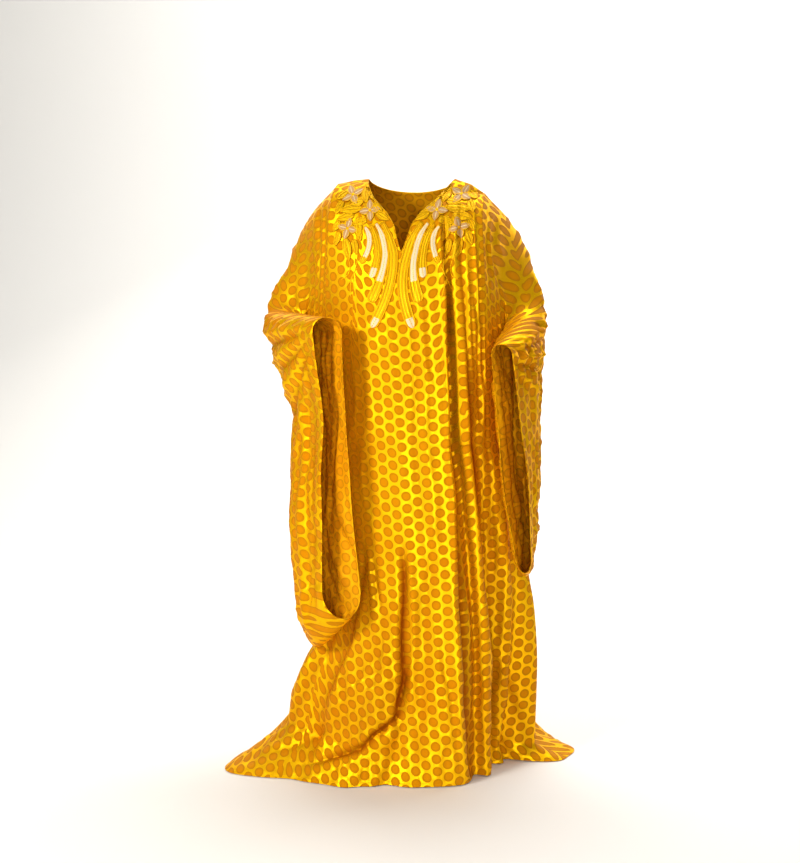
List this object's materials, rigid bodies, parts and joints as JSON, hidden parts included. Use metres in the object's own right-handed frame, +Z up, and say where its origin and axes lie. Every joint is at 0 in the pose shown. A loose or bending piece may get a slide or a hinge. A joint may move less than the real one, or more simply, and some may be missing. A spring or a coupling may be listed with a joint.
{
  "type": "kaftan dress",
  "caption": "Floor-length kaftan dress in golden damask with wide hanging wing sleeves and raised embroidery round the slit neck, in the form it has when worn.",
  "frame": {"origin": "middle of the shoulder line, level with the neck's two ends, where the wearer's shoulders carry the dress", "axes": "+Z up, -Y the way the wearer faces, so the wearer's right is -X and the wearer's left is +X"},
  "size_m": [0.8152, 0.5331, 1.4068],
  "materials": {
    "damask": "satin",
    "gold_thread": "satin",
    "cream_thread": "satin"
  },
  "bodies": {
    "root": {"front": "damask", "back": "damask", "sleeve_right": "damask", "sleeve_left": "damask", "band_right_1": "gold_thread", "band_right_2": "gold_thread", "band_right_3": "gold_thread", "band_right_4": "gold_thread", "band_left_1": "gold_thread", "band_left_2": "gold_thread", "band_left_3": "gold_thread", "band_left_4": "gold_thread", "flower_right_1": "cream_thread", "flower_right_2": "cream_thread", "flower_right_3": "cream_thread", "flower_left_1": "cream_thread", "flower_left_2": "cream_thread", "flower_left_3": "cream_thread", "leaf_right_1": "gold_thread", "leaf_right_2": "gold_thread", "leaf_right_3": "gold_thread", "leaf_right_4": "gold_thread", "leaf_right_5": "gold_thread", "leaf_left_1": "gold_thread", "leaf_left_2": "gold_thread", "leaf_left_3": "gold_thread", "leaf_left_4": "gold_thread", "leaf_left_5": "gold_thread"}
  },
  "joints": []
}
